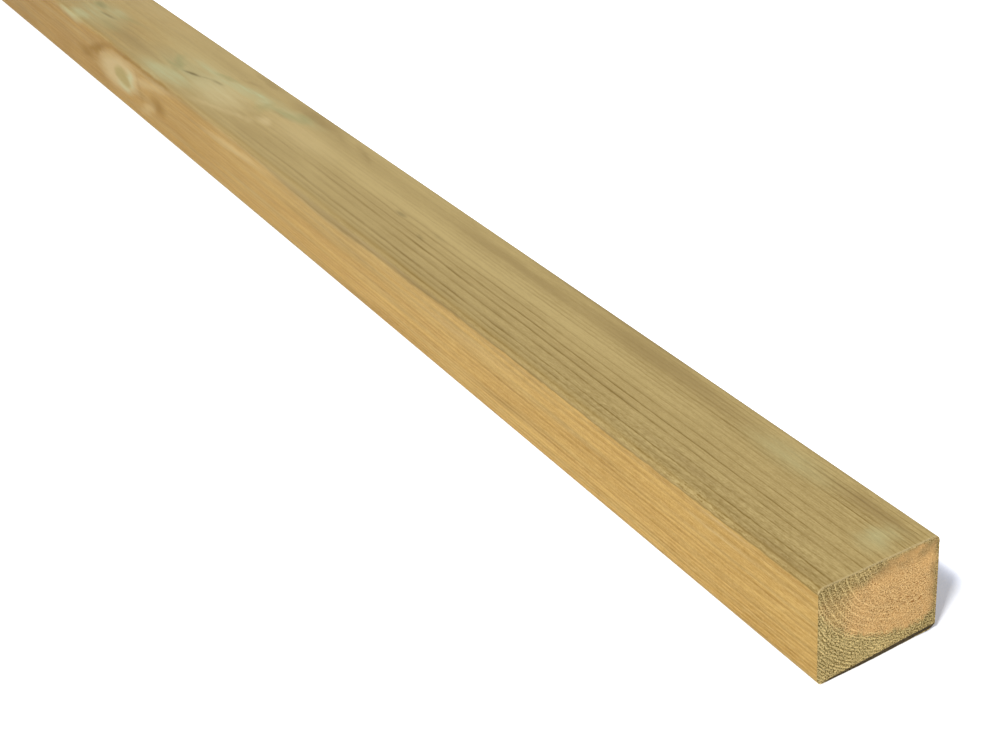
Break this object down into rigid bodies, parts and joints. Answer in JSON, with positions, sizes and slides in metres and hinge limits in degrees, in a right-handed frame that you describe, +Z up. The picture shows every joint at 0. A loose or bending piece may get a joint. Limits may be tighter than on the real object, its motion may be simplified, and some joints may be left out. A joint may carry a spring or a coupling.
{
  "type": "deck baluster",
  "caption": "Plain square-cut softwood stick with eased long arrises, fixed upright between the rails of a deck guard to fill the gap under the handrail.",
  "frame": {"origin": "centre of the underside, midway along the stick", "axes": "+X along the grain towards the front sawn end, +Y across the broad face, +Z up through the thickness"},
  "size_m": [0.9, 0.041, 0.032],
  "materials": {
    "softwood": "planed, pressure treated, unpainted, with fuzzy sawn ends"
  },
  "bodies": {
    "root": {"baluster": "softwood"}
  },
  "joints": []
}
